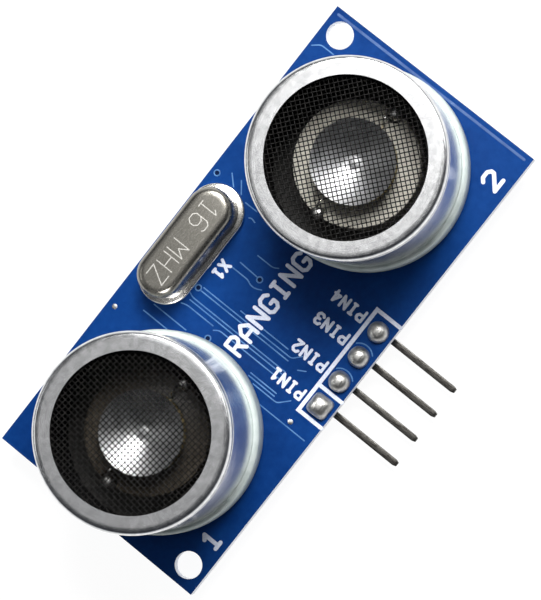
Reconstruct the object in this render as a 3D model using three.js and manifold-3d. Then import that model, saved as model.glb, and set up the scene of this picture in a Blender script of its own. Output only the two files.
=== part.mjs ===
// Ultrasonic distance sensor module: one small circuit board with a transmitting and a
// receiving transducer, a quartz crystal, a four-pin right-angle header and, on its back,
// three chips and their small parts.
//
// Millimetres. +X runs from the transmitter to the receiver, +Y points away from the
// header pins and +Z comes out of the transducers' fronts. The origin is at the bottom
// centre of the bounding box, on the plane that the header strip's underside lies in.

import * as THREE from 'three';
import { mergeVertices } from 'three/addons/utils/BufferGeometryUtils.js';
import Module from 'manifold-3d';

const wasm = await Module();
wasm.setup();

// ---------------------------------------------------------------- driving dimensions

const board = { length: 45, width: 20.4, thickness: 1.2 };
const mountingHole = { diameter: 2.3, fromShortEdge: 1.77, fromLongEdge: 1.66 };

const header = {
  pins: 4,
  pitch: 2.54,
  stripHeight: 2.54,
  stripDepth: 2.54,
  stripRecess: 0.7, // from the board's edge back to the strip's face
  rowFromEdge: 1.23, // from the board's edge to the row of holes
  pinThickness: 0.55,
  pinReach: 6.4, // past the board's edge
  pinTop: 1.1, // above the board's front
  tipLength: 0.3,
  tipWidth: 0.38,
  bendRadius: 0.3, // inside the pin's bend
  stripCorner: 0.3,
  solderRadius: 0.88,
  solderHeight: 0.95,
};

const transducer = {
  spacing: 27.2, // between the two centres
  offsetY: -0.1,
  height: 12,
  flangeRadius: 8.36,
  flangeHeight: 2.2,
  flangeRounding: 0.4,
  wallRadius: 7.9,
  beadFromTop: 1.45, // down to the foot of the small bead under the rim
  beadHeight: 0.35,
  beadProud: 0.1,
  rimHeight: 0.9,
  rimRadius: 8.0,
  rimRounding: 0.45,
  openingRadius: 6.465,
  innerRadius: 7.45,
  lipThickness: 0.35,
  baseRadius: 7.9,
  baseHeight: 1.7,
  baseStepRadius: 7.4,
  baseTop: 2.4,
  holderRadius: 5.15,
  holderTop: 6.2,
  notchRadius: 0.75, // in the holder's edge, round its outer terminal pin
  pinSpacing: 10,
  pinRadius: 0.35,
  pinTop: 6.35,
  pinTail: 1.4, // past the board's back
  solderRadius: 1.0,
  solderHeight: 1.0,
  ringInnerRadius: 2.2,
  ringOuterRadius: 3.2,
  ringHeight: 0.3,
  plateRadius: 3.35,
  plateThickness: 0.2,
  ceramicRadius: 2.9,
  ceramicThickness: 0.25,
  hubRadius: 0.55,
  coneRadius: 3.45,
  coneHeight: 1.35,
  coneThickness: 0.15,
  grilleRadius: 7.35,
  grilleThickness: 0.3,
  wireRadius: 0.11,
  wireRise: 0.55, // of the route's middle control point above the piezo plate
};

const crystal = {
  x: -0.1,
  fromCentreY: 7.6,
  flangeLength: 11.4,
  flangeWidth: 4.75,
  flangeHeight: 0.5,
  canLength: 10.35,
  canWidth: 3.85,
  top: 3.5,
  shoulderRadius: 0.55,
  wall: 0.3,
  leadSpacing: 4.88,
  leadRadius: 0.215,
  leadTop: 1.75,
  leadTail: 1.2, // past the board's back
  solderRadius: 0.85,
  solderHeight: 0.85,
  quartzLength: 7.6,
  quartzWidth: 1.9,
  quartzThickness: 0.2,
};

const chipPackage = {
  bodyWidth: 3.9,
  bodyHeight: 1.45,
  endMargin: 0.1, // from half a pitch past the last leg back to the body's end
  draft: 0.12,
  standoff: 0.12,
  legPitch: 1.27,
  legWidth: 0.4,
  legThickness: 0.2,
  legRoot: 0.15, // inside the body
  legShoulder: 0.8,
  kneeReach: 0.3,
  ankleReach: 0.5,
  legOffset: 0.15, // from the leg's inner outline to its outer one, along the reach
  footReach: 1.05,
};

const chipPart = { length: 1.6, width: 0.8, standoff: 0.06, endLength: 0.3, endProud: 0.03 };
const resistorHeight = 0.45;
const capacitorHeight = 0.8;

const holeClearance = 0.15; // on the radius, round a round lead
const fitGap = 0.05; // between pieces that fit closely
const overshoot = 1; // how far a cutter reaches past what it cuts

// Facets round a full turn.
const facets = { can: 48, drum: 36, disc: 32, cone: 28, bigHole: 32, ring: 20, hole: 16, lead: 12 };

// Places on the board's back, from the board's centre as seen from the front.
const chips = [
  { name: 'driver_chip', legs: 16, x: -13.6, y: 1.2, turned: true },
  { name: 'controller_chip', legs: 14, x: 0.2, y: -0.6, turned: false },
  { name: 'amplifier_chip', legs: 14, x: 13.6, y: 1.2, turned: true },
];
const resistors = [
  { x: -6.9, y: 5.4, turned: true },
  { x: -5.2, y: 5.4, turned: true },
  { x: 5.2, y: 5.4, turned: true },
  { x: 6.9, y: 5.4, turned: true },
  { x: -8.3, y: -6.2, turned: false },
  { x: 8.3, y: -6.2, turned: false },
  { x: 18.9, y: -3.4, turned: true },
];
const capacitors = [
  { x: -18.9, y: -3.4, turned: true },
  { x: -18.9, y: 5.4, turned: true },
  { x: 18.9, y: 5.4, turned: true },
  { x: 11.6, y: -6.2, turned: false },
];
const transistor = { x: -12.4, y: -6.6, length: 2.9, width: 1.3, height: 1.0, legSpread: 0.95 };

// ------------------------------------------------------------------ derived positions

const boardBackZ = header.stripHeight;
const boardFrontZ = boardBackZ + board.thickness;
const boardY = header.pinReach / 2;
const rowY = boardY - board.width / 2 + header.rowFromEdge;
const pinTipY = boardY - board.width / 2 - header.pinReach;

// -------------------------------------------------------------------------- materials

const finish = (color, roughness, metalness) =>
  new THREE.MeshStandardMaterial({ color, roughness, metalness });

const finishes = {
  solderMask: finish(0x0b3f9e, 0.35, 0.0),
  aluminium: finish(0xd9dbde, 0.35, 1.0),
  mesh: finish(0x3c3c3e, 0.5, 0.9),
  blackPlastic: finish(0x151515, 0.55, 0.0),
  creamPlastic: finish(0xcfc4a6, 0.6, 0.0),
  silicone: finish(0xb9b9b2, 0.7, 0.0),
  brass: finish(0xb8a05a, 0.35, 1.0),
  ceramic: finish(0xd8d2c4, 0.6, 0.0),
  coneMetal: finish(0xc9c8c4, 0.3, 1.0),
  crystalMetal: finish(0xa39c92, 0.35, 1.0),
  quartz: finish(0xe6e6ea, 0.1, 0.0),
  tinnedMetal: finish(0xa9a9a6, 0.35, 1.0),
  solder: finish(0x9b9a96, 0.35, 1.0),
  wire: finish(0xb8b8b8, 0.4, 1.0),
  chipResin: finish(0x1b1c1e, 0.5, 0.0),
  resistorBody: finish(0x141414, 0.4, 0.0),
  capacitorBody: finish(0xa98d68, 0.6, 0.0),
};

// ------------------------------------------------------------------------ solid tools

// A manifold-3d solid from a closed three.js geometry.
function solidOf(geometry) {
  const plain = geometry.clone();
  plain.deleteAttribute('normal');
  plain.deleteAttribute('uv');
  const merged = mergeVertices(plain, 1e-5);
  return new wasm.Manifold(new wasm.Mesh({
    numProp: 3,
    vertProperties: new Float32Array(merged.attributes.position.array),
    triVerts: new Uint32Array(merged.index.array),
  }));
}

// A three.js geometry from a manifold-3d solid.
function geometryOf(solid) {
  const mesh = solid.getMesh();
  const geometry = new THREE.BufferGeometry();
  geometry.setAttribute('position', new THREE.BufferAttribute(mesh.vertProperties, 3));
  geometry.setIndex(new THREE.BufferAttribute(mesh.triVerts, 1));
  return geometry;
}

function cut(geometry, cutters) {
  const rest = cutters.reduce((solid, cutter) => solid.subtract(solidOf(cutter)), solidOf(geometry));
  return geometryOf(rest);
}

function join(geometries) {
  const solids = geometries.map(solidOf);
  return geometryOf(solids.reduce((whole, solid) => whole.add(solid)));
}

function overlapOf(geometryA, geometryB) {
  return geometryOf(solidOf(geometryA).intersect(solidOf(geometryB)));
}

// Points of an arc about (centreX, centreY), angles in degrees, both ends included.
function arcPoints(centreX, centreY, radius, fromAngle, toAngle, steps) {
  return Array.from({ length: steps + 1 }, (_, step) => {
    const angle = THREE.MathUtils.degToRad(fromAngle + ((toAngle - fromAngle) * step) / steps);
    return [centreX + radius * Math.cos(angle), centreY + radius * Math.sin(angle)];
  });
}

// A solid of revolution about Z. The profile's [radius, z] points go up the outside
// first, and it closes on itself or starts and ends on the axis.
function revolve(profile, segments) {
  const points = profile.map(([radius, z]) => new THREE.Vector2(radius, z));
  const onAxis = points[0].x === 0 && points.at(-1).x === 0;
  if (!onAxis) {
    points.push(points[0].clone());
  }
  return new THREE.LatheGeometry(points, segments).rotateX(Math.PI / 2);
}

function cylinder(radius, fromZ, toZ, segments) {
  return new THREE.CylinderGeometry(radius, radius, toZ - fromZ, segments)
    .rotateX(Math.PI / 2)
    .translate(0, 0, (fromZ + toZ) / 2);
}

function shapeOf(points) {
  return new THREE.Shape(points.map(([x, y]) => new THREE.Vector2(x, y)));
}

// A flat outline given height along Z.
function prism(shape, fromZ, toZ) {
  return new THREE.ExtrudeGeometry(shape, { depth: toZ - fromZ, bevelEnabled: false })
    .translate(0, 0, fromZ);
}

// An outline in Y and Z given width along X, centred on X = 0.
function sideProfile(points, width) {
  const alongX = new THREE.Matrix4().makeBasis(
    new THREE.Vector3(0, 1, 0),
    new THREE.Vector3(0, 0, 1),
    new THREE.Vector3(1, 0, 0),
  );
  return prism(shapeOf(points), -width / 2, width / 2).applyMatrix4(alongX);
}

// A slot-shaped outline with round ends, long along X.
function slotPoints(length, width) {
  const endSteps = 10;
  const reach = (length - width) / 2;
  return [
    ...arcPoints(reach, 0, width / 2, -90, 90, endSteps),
    ...arcPoints(-reach, 0, width / 2, 90, 270, endSteps),
  ];
}

// A solid through rings of equal point count, each { points, z }, closed by flat ends.
function loft(rings) {
  const count = rings[0].points.length;
  const positions = rings.flatMap(({ points, z }) => points.flatMap(([x, y]) => [x, y, z]));
  const faces = [];
  for (let ring = 0; ring < rings.length - 1; ring += 1) {
    for (let i = 0; i < count; i += 1) {
      const next = (i + 1) % count;
      const low = ring * count;
      const high = low + count;
      faces.push(low + i, low + next, high + next, low + i, high + next, high + i);
    }
  }
  const top = (rings.length - 1) * count;
  for (let i = 1; i < count - 1; i += 1) {
    faces.push(0, i + 1, i);
    faces.push(top, top + i, top + i + 1);
  }
  const geometry = new THREE.BufferGeometry();
  geometry.setAttribute('position', new THREE.Float32BufferAttribute(positions, 3));
  geometry.setIndex(faces);
  return geometry;
}

function meshOf(name, geometry, material) {
  const mesh = new THREE.Mesh(geometry, material);
  mesh.name = name;
  return mesh;
}

// ---------------------------------------------------------------------- circuit board

function roundHole(x, y, radius, segments) {
  return new THREE.Path(
    arcPoints(x, y, radius, 0, 360, segments)
      .slice(0, -1)
      .map(([px, py]) => new THREE.Vector2(px, py)),
  );
}

function pinOffsets() {
  return Array.from({ length: header.pins }, (_, i) => (i - (header.pins - 1) / 2) * header.pitch);
}

function circuitBoard() {
  const halfLength = board.length / 2;
  const halfWidth = board.width / 2;
  const outline = shapeOf([
    [-halfLength, -halfWidth],
    [halfLength, -halfWidth],
    [halfLength, halfWidth],
    [-halfLength, halfWidth],
  ]);
  const holeX = halfLength - mountingHole.fromShortEdge;
  const holeY = halfWidth - mountingHole.fromLongEdge;
  outline.holes.push(roundHole(holeX, holeY, mountingHole.diameter / 2, facets.bigHole));
  outline.holes.push(roundHole(-holeX, -holeY, mountingHole.diameter / 2, facets.bigHole));
  for (const x of pinOffsets()) {
    const radius = header.pinThickness / 2 + holeClearance + fitGap;
    outline.holes.push(roundHole(x, rowY - boardY, radius, facets.hole));
  }
  for (const side of [-1, 1]) {
    for (const end of [-1, 1]) {
      const x = (side * transducer.spacing) / 2 + (end * transducer.pinSpacing) / 2;
      const radius = transducer.pinRadius + holeClearance;
      outline.holes.push(roundHole(x, transducer.offsetY, radius, facets.hole));
    }
  }
  for (const end of [-1, 1]) {
    const x = crystal.x + (end * crystal.leadSpacing) / 2;
    const radius = crystal.leadRadius + holeClearance;
    outline.holes.push(roundHole(x, crystal.fromCentreY, radius, facets.lead));
  }
  const mesh = meshOf('circuit_board', prism(outline, 0, board.thickness), finishes.solderMask);
  mesh.position.set(0, boardY, boardBackZ);
  return mesh;
}

// ----------------------------------------------------------------------- transducers
// Each is drawn about its own axis, with z = 0 on the board's front.

function canGeometry() {
  const t = transducer;
  const beadFoot = t.height - t.beadFromTop;
  const flangeCentre = [t.flangeRadius - t.flangeRounding, t.flangeHeight - t.flangeRounding];
  const rimCentre = [t.rimRadius - t.rimRounding, t.height - t.rimRounding];
  const profile = [
    [t.flangeRadius, 0],
    ...arcPoints(...flangeCentre, t.flangeRounding, 0, 90, 3),
    [t.wallRadius, t.flangeHeight],
    [t.wallRadius, beadFoot],
    [t.wallRadius + t.beadProud, beadFoot + t.beadHeight / 2],
    [t.wallRadius, beadFoot + t.beadHeight],
    [t.rimRadius, t.height - t.rimHeight],
    ...arcPoints(...rimCentre, t.rimRounding, 0, 90, 4),
    [t.openingRadius, t.height],
    [t.openingRadius, t.height - t.lipThickness],
    [t.innerRadius, t.height - t.lipThickness],
    [t.innerRadius, t.baseTop],
    [t.baseRadius + fitGap, t.baseHeight + fitGap],
    [t.baseRadius + fitGap, 0],
  ];
  return revolve(profile, facets.can);
}

function pinHole(end, radius, fromZ, toZ) {
  return cylinder(radius, fromZ - overshoot, toZ + overshoot, facets.hole)
    .translate((end * transducer.pinSpacing) / 2, 0, 0);
}

function baseGeometry() {
  const t = transducer;
  const profile = [
    [0, 0],
    [t.baseRadius, 0],
    [t.baseRadius, t.baseHeight],
    [t.baseStepRadius, t.baseHeight],
    [t.baseStepRadius, t.baseTop],
    [0, t.baseTop],
  ];
  const holes = [-1, 1].map((end) => pinHole(end, t.pinRadius + fitGap, 0, t.baseTop));
  return cut(revolve(profile, facets.drum), holes);
}

// The drum that carries the piezo element, notched at the pin on its outer side.
function holderGeometry(outerSide) {
  const t = transducer;
  const drum = cylinder(t.holderRadius, t.baseTop, t.holderTop, facets.drum);
  return cut(drum, [
    pinHole(outerSide, t.notchRadius, t.baseTop, t.holderTop),
    pinHole(-outerSide, t.pinRadius + fitGap, t.baseTop, t.holderTop),
  ]);
}

function dampingRingGeometry(fromZ) {
  const t = transducer;
  return revolve([
    [t.ringOuterRadius, fromZ],
    [t.ringOuterRadius, fromZ + t.ringHeight],
    [t.ringInnerRadius, fromZ + t.ringHeight],
    [t.ringInnerRadius, fromZ],
  ], facets.ring);
}

// A thin flared cone that stands on a small hub.
function coneGeometry(fromZ) {
  const t = transducer;
  const steps = 4;
  const flare = Array.from({ length: steps + 1 }, (_, step) => {
    const share = step / steps;
    const radius = t.hubRadius + (t.coneRadius - t.hubRadius) * share;
    return [radius, fromZ + (t.coneHeight - t.coneThickness) * share ** 1.5];
  });
  const inside = flare.map(([radius, z]) => [radius, z + t.coneThickness]).reverse();
  return revolve([[0, fromZ], ...flare, ...inside, [0, fromZ + t.coneThickness]], facets.cone);
}

function terminalPinGeometry() {
  const t = transducer;
  return cylinder(t.pinRadius, -board.thickness - t.pinTail, t.pinTop, facets.lead);
}

// The solder round a lead on the board's back, drawn up to a waist and a thin neck.
function backSolderGeometry(leadRadius, footRadius, height) {
  const backZ = -board.thickness;
  const boreRadius = leadRadius + fitGap;
  return revolve([
    [boreRadius, backZ - height],
    [boreRadius + (footRadius - boreRadius) * 0.35, backZ - height * 0.6],
    [footRadius * 0.85, backZ - height * 0.25],
    [footRadius, backZ],
    [boreRadius, backZ],
  ], facets.lead);
}

// A fine wire from the piezo plate out and down to a terminal pin's top.
function piezoWireGeometry(plateZ) {
  const t = transducer;
  const start = t.plateRadius + t.wireRadius + fitGap;
  const end = t.pinSpacing / 2;
  const route = new THREE.QuadraticBezierCurve3(
    new THREE.Vector3(start, 0, plateZ),
    new THREE.Vector3((start + end) / 2, 0, plateZ + t.wireRise),
    new THREE.Vector3(end, 0, t.pinTop + t.wireRadius + fitGap),
  );
  const section = shapeOf(arcPoints(0, 0, t.wireRadius, 0, 360, 6).slice(0, -1));
  return new THREE.ExtrudeGeometry(section, { steps: 5, extrudePath: route, bevelEnabled: false });
}

function transducerGroup(prefix, outerSide, holderFinish) {
  const t = transducer;
  const ringTop = t.holderTop + t.ringHeight;
  const plateTop = ringTop + t.plateThickness;
  const ceramicTop = plateTop + t.ceramicThickness;
  const grilleTop = t.height - t.lipThickness;
  const group = new THREE.Group();
  const add = (name, geometry, material) => {
    const mesh = meshOf(`${prefix}_${name}`, geometry, material);
    group.add(mesh);
    return mesh;
  };
  add('can', canGeometry(), finishes.aluminium);
  const grille = cylinder(t.grilleRadius, grilleTop - t.grilleThickness, grilleTop, facets.can);
  add('grille', grille, finishes.mesh);
  add('base', baseGeometry(), finishes.blackPlastic);
  add('holder', holderGeometry(outerSide), holderFinish);
  add('damping_ring', dampingRingGeometry(t.holderTop), finishes.silicone);
  add('piezo_plate', cylinder(t.plateRadius, ringTop, plateTop, facets.disc), finishes.brass);
  add('piezo_ceramic', cylinder(t.ceramicRadius, plateTop, ceramicTop, facets.disc), finishes.ceramic);
  add('cone', coneGeometry(ceramicTop), finishes.coneMetal);
  for (const [letter, side] of [['a', -1], ['b', 1]]) {
    const x = (side * t.pinSpacing) / 2;
    const solder = backSolderGeometry(t.pinRadius, t.solderRadius, t.solderHeight);
    add(`pin_${letter}`, terminalPinGeometry(), finishes.tinnedMetal).position.x = x;
    add(`solder_${letter}`, solder, finishes.solder).position.x = x;
    const wire = add(`wire_${letter}`, piezoWireGeometry(ringTop + t.plateThickness / 2), finishes.wire);
    wire.rotation.z = side > 0 ? 0 : Math.PI;
  }
  group.position.set((outerSide * t.spacing) / 2, boardY + t.offsetY, boardFrontZ);
  return group;
}

// --------------------------------------------------------------------------- crystal
// Drawn about its own centre, with z = 0 on the board's front.

function crystalCanGeometry() {
  const c = crystal;
  const shell = (grow, bottomZ, topZ, rounding) => {
    const shoulder = arcPoints(rounding, topZ - rounding, rounding, 180, 90, 4);
    const rings = [[0, bottomZ], ...shoulder].map(([inset, z]) => ({
      points: slotPoints(c.canLength + 2 * (grow - inset), c.canWidth + 2 * (grow - inset)),
      z,
    }));
    return loft(rings);
  };
  const outside = shell(0, c.flangeHeight, c.top, c.shoulderRadius);
  const insideRounding = c.shoulderRadius - c.wall;
  const inside = shell(-c.wall, c.flangeHeight - overshoot, c.top - c.wall, insideRounding);
  return cut(outside, [inside]);
}

function crystalBaseGeometry() {
  const c = crystal;
  const outline = shapeOf(slotPoints(c.flangeLength, c.flangeWidth));
  for (const end of [-1, 1]) {
    const radius = c.leadRadius + fitGap;
    outline.holes.push(roundHole((end * c.leadSpacing) / 2, 0, radius, facets.lead));
  }
  return prism(outline, 0, c.flangeHeight);
}

function quartzGeometry() {
  const c = crystal;
  const bottomZ = c.leadTop + fitGap;
  return new THREE.BoxGeometry(c.quartzLength, c.quartzWidth, c.quartzThickness)
    .translate(0, 0, bottomZ + c.quartzThickness / 2);
}

function crystalGroup() {
  const c = crystal;
  const group = new THREE.Group();
  group.add(meshOf('crystal_can', crystalCanGeometry(), finishes.crystalMetal));
  group.add(meshOf('crystal_base', crystalBaseGeometry(), finishes.crystalMetal));
  group.add(meshOf('crystal_quartz', quartzGeometry(), finishes.quartz));
  for (const [letter, side] of [['a', -1], ['b', 1]]) {
    const tailZ = -board.thickness - c.leadTail;
    const leadGeometry = cylinder(c.leadRadius, tailZ, c.leadTop, facets.lead);
    const lead = meshOf(`crystal_lead_${letter}`, leadGeometry, finishes.tinnedMetal);
    const solderGeometry = backSolderGeometry(c.leadRadius, c.solderRadius, c.solderHeight);
    const solder = meshOf(`crystal_solder_${letter}`, solderGeometry, finishes.solder);
    lead.position.x = (side * c.leadSpacing) / 2;
    solder.position.x = lead.position.x;
    group.add(lead, solder);
  }
  group.position.set(c.x, boardY + c.fromCentreY, boardFrontZ);
  return group;
}

// ---------------------------------------------------------------------------- header

// The side outline of a square bar that comes in level along Y and turns up at the row.
function bentBarPoints(thickness, tipY, topZ, tipLength, tipWidth) {
  const half = thickness / 2;
  const axisZ = header.stripHeight / 2;
  const inner = header.bendRadius;
  const outer = header.bendRadius + thickness;
  return [
    [tipY, axisZ - tipWidth / 2],
    [tipY + tipLength, axisZ - half],
    ...arcPoints(rowY + half - outer, axisZ - half + outer, outer, -90, 0, 4),
    [rowY + half, topZ],
    [rowY - half, topZ],
    ...arcPoints(rowY - half - inner, axisZ + half + inner, inner, 0, -90, 3),
    [tipY + tipLength, axisZ + half],
    [tipY, axisZ + tipWidth / 2],
  ];
}

// A bent square pin whose level end tapers on all four sides.
function headerPinGeometry() {
  const { pinThickness, pinTop, tipLength, tipWidth } = header;
  const topZ = boardFrontZ + pinTop;
  const outline = bentBarPoints(pinThickness, pinTipY, topZ, tipLength, tipWidth);
  const plan = shapeOf([
    [-tipWidth / 2, pinTipY],
    [tipWidth / 2, pinTipY],
    [pinThickness / 2, pinTipY + tipLength],
    [pinThickness / 2, rowY + overshoot],
    [-pinThickness / 2, rowY + overshoot],
    [-pinThickness / 2, pinTipY + tipLength],
  ]);
  return overlapOf(sideProfile(outline, pinThickness), prism(plan, -overshoot, topZ + overshoot));
}

// The insulating strip: one eight-sided cell for each pin, with a bent way through it.
function headerStripGeometry() {
  const faceY = boardY - board.width / 2 + header.stripRecess;
  const backY = faceY + header.stripDepth;
  const corner = header.stripCorner;
  const half = header.pitch / 2;
  const cells = pinOffsets().flatMap((x) => [
    [x - half, faceY + corner],
    [x - half + corner, faceY],
    [x + half - corner, faceY],
  ]);
  const front = [...cells, [pinOffsets().at(-1) + half, faceY + corner]];
  const back = front.map(([x, y]) => [x, faceY + backY - y]).reverse();
  const block = prism(shapeOf([...front, ...back]), 0, header.stripHeight);
  const wayWidth = header.pinThickness + 2 * fitGap;
  const wayTop = header.stripHeight + overshoot;
  const outline = bentBarPoints(wayWidth, faceY - overshoot, wayTop, header.tipLength, wayWidth);
  const way = sideProfile(outline, wayWidth);
  return cut(block, pinOffsets().map((x) => way.clone().translate(x, 0, 0)));
}

// The dome of solder round a header pin on the board's front.
function headerSolderGeometry() {
  const bore = header.pinThickness / Math.SQRT2 + fitGap / 2;
  const { solderRadius, solderHeight } = header;
  const dome = Array.from({ length: 4 }, (_, step) => {
    const lift = step / 4;
    return [bore + (solderRadius - bore) * Math.sqrt(1 - lift ** 2), solderHeight * lift];
  });
  return revolve([...dome, [bore, solderHeight], [bore, 0]], facets.lead);
}

function headerGroup() {
  const group = new THREE.Group();
  group.add(meshOf('header_strip', headerStripGeometry(), finishes.blackPlastic));
  pinOffsets().forEach((x, i) => {
    const pin = meshOf(`header_pin_${i + 1}`, headerPinGeometry(), finishes.tinnedMetal);
    pin.position.x = x;
    const solder = meshOf(`header_solder_${i + 1}`, headerSolderGeometry(), finishes.solder);
    solder.position.set(x, rowY, boardFrontZ);
    group.add(pin, solder);
  });
  return group;
}

// ------------------------------------------------------------- parts on the board's back
// Each is drawn standing on z = 0 and then turned over onto the back.

// One bent leg in Y and Z, reaching out of a body whose side is at edgeY.
function legGeometry(edgeY, direction) {
  const p = chipPackage;
  const points = [
    [edgeY - p.legRoot, p.legShoulder],
    [edgeY - p.legRoot, p.legShoulder - p.legThickness],
    [edgeY + p.kneeReach, p.legShoulder - p.legThickness],
    [edgeY + p.ankleReach, 0],
    [edgeY + p.footReach, 0],
    [edgeY + p.footReach, p.legThickness],
    [edgeY + p.ankleReach + p.legOffset, p.legThickness],
    [edgeY + p.kneeReach + p.legOffset, p.legShoulder],
  ];
  const leg = sideProfile(points, p.legWidth);
  return direction > 0 ? leg : leg.rotateZ(Math.PI);
}

function chipGeometry(legs) {
  const p = chipPackage;
  const perSide = legs / 2;
  const bodyLength = perSide * p.legPitch - 2 * p.endMargin;
  const ring = (inset, z) => ({
    z,
    points: [
      [-bodyLength / 2 + inset, -p.bodyWidth / 2 + inset],
      [bodyLength / 2 - inset, -p.bodyWidth / 2 + inset],
      [bodyLength / 2 - inset, p.bodyWidth / 2 - inset],
      [-bodyLength / 2 + inset, p.bodyWidth / 2 - inset],
    ],
  });
  const body = loft([
    ring(p.draft, p.standoff),
    ring(0, p.legShoulder - p.legThickness / 2),
    ring(p.draft, p.standoff + p.bodyHeight),
  ]);
  const legSolids = [];
  for (let i = 0; i < perSide; i += 1) {
    const x = (i - (perSide - 1) / 2) * p.legPitch;
    for (const direction of [-1, 1]) {
      legSolids.push(legGeometry(p.bodyWidth / 2, direction).translate(x, 0, 0));
    }
  }
  return join([body, ...legSolids]);
}

// A small two-ended part whose metal ends stand slightly proud of its body.
function chipPartGeometry(height) {
  const p = chipPart;
  const half = p.length / 2;
  const inner = half - p.endLength;
  const points = [
    [-half, 0],
    [-inner, 0],
    [-inner, p.endProud],
    [inner, p.endProud],
    [inner, 0],
    [half, 0],
    [half, height],
    [inner, height],
    [inner, height - p.endProud],
    [-inner, height - p.endProud],
    [-inner, height],
    [-half, height],
  ];
  return sideProfile(points, p.width).rotateZ(Math.PI / 2).translate(0, 0, p.standoff);
}

function transistorGeometry() {
  const { length, width, height, legSpread } = transistor;
  const bodyZ = chipPackage.standoff + height / 2;
  return join([
    new THREE.BoxGeometry(length, width, height).translate(0, 0, bodyZ),
    legGeometry(width / 2, 1),
    legGeometry(width / 2, -1).translate(-legSpread, 0, 0),
    legGeometry(width / 2, -1).translate(legSpread, 0, 0),
  ]);
}

function backGroup() {
  const group = new THREE.Group();
  const place = (mesh, { x, y, turned }) => {
    mesh.position.set(x, -y, 0);
    mesh.rotation.z = turned ? Math.PI / 2 : 0;
    group.add(mesh);
  };
  for (const chip of chips) {
    place(meshOf(chip.name, chipGeometry(chip.legs), finishes.chipResin), chip);
  }
  resistors.forEach((spot, i) => {
    const body = chipPartGeometry(resistorHeight);
    place(meshOf(`resistor_${i + 1}`, body, finishes.resistorBody), spot);
  });
  capacitors.forEach((spot, i) => {
    const body = chipPartGeometry(capacitorHeight);
    place(meshOf(`capacitor_${i + 1}`, body, finishes.capacitorBody), spot);
  });
  place(meshOf('transistor', transistorGeometry(), finishes.chipResin), transistor);
  group.rotation.x = Math.PI;
  group.position.set(0, boardY, boardBackZ);
  return group;
}

// -------------------------------------------------------------------------- assembly

const sensor = new THREE.Group();
sensor.name = 'ultrasonic_distance_sensor';
sensor.add(circuitBoard());
sensor.add(transducerGroup('transmitter', -1, finishes.blackPlastic));
sensor.add(transducerGroup('receiver', 1, finishes.creamPlastic));
sensor.add(crystalGroup());
sensor.add(headerGroup());
sensor.add(backGroup());

export default sensor;
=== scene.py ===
import math

import bmesh
import bpy
from mathutils import Matrix, Vector
from mathutils import noise as fractal


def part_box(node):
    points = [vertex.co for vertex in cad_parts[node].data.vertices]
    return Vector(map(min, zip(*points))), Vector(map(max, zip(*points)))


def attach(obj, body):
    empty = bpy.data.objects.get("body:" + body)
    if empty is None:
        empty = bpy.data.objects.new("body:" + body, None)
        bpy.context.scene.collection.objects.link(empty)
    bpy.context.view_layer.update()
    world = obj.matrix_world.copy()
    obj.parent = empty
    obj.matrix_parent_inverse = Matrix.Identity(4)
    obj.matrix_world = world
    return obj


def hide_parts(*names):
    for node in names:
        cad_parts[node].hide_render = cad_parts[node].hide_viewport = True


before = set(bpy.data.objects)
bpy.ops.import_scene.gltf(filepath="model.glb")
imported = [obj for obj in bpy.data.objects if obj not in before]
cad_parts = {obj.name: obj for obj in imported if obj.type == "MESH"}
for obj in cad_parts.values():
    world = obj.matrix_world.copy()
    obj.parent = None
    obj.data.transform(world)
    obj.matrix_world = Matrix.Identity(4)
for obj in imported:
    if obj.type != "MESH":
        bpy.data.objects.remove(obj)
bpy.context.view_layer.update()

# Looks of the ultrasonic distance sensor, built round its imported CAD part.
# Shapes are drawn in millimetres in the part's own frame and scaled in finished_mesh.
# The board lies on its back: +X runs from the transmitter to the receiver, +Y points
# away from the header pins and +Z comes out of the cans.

MM = 0.001
BODY = "root"
SIDES = ("transmitter", "receiver")


def new_object(name, data):
    made = bpy.data.objects.new(name, data)
    bpy.context.scene.collection.objects.link(made)
    return made


# ---- places from the frame

class NodeBox:
    """The box of one CAD node, in millimetres."""

    def __init__(self, node):
        self.low, self.high = (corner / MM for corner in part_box(node))
        self.mid = (self.low + self.high) / 2
        self.size = self.high - self.low
        self.radius = self.size.x / 2


BOARD = NodeBox("circuit_board")
FRONT_Z = BOARD.high.z
BACK_Z = BOARD.low.z

# Each face of the board: its height, and which way is out of it.
FRONT = (FRONT_Z, 1)
BACK = (BACK_Z, -1)


def on_board(x, y):
    """A place given from the board's centre, in the part's frame."""
    return Vector((BOARD.mid.x + x, BOARD.mid.y + y))


# ---- camera and lights

CAMERA_AZIMUTH = 27.158
CAMERA_ELEVATION = 79.532
CAMERA_ROLL = -78.722
CAMERA_DISTANCE = 245.7
CAMERA_LENS = 181.15
CAMERA_TARGET = Vector((0.372, -0.380, 0.0)) + Vector((BOARD.mid.x, BOARD.mid.y, FRONT_Z))

# Direction from the part, distance, width and height, and power in watts.
AREA_LIGHTS = {
    "key": ((0.51, 0.20, 0.84), 340, (150, 150), 1.94),
    "side_strip": ((0.79, -0.10, 0.60), 340, (300, 60), 0.28),
    "top": ((0.145, 0.18, 0.97), 420, (120, 110), 0.060),
    "fill": ((-0.135, 0.170, 0.976), 407, (110, 110), 0.0165),
    "left": ((-0.45, 0.58, 0.68), 340, (130, 130), 0.064),
}


def rotation(degrees, axis):
    return Matrix.Rotation(math.radians(degrees), 4, axis)


def add_camera():
    data = bpy.data.cameras.new("camera")
    data.lens = CAMERA_LENS
    data.clip_start = 0.01
    data.clip_end = 10
    camera = new_object("camera", data)
    turn = (rotation(CAMERA_AZIMUTH, "Z") @ rotation(90 - CAMERA_ELEVATION, "X")
            @ rotation(CAMERA_ROLL, "Z"))
    back_off = Matrix.Translation((0, 0, CAMERA_DISTANCE * MM))
    camera.matrix_world = Matrix.Translation(CAMERA_TARGET * MM) @ turn @ back_off
    bpy.context.scene.camera = camera


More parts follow.
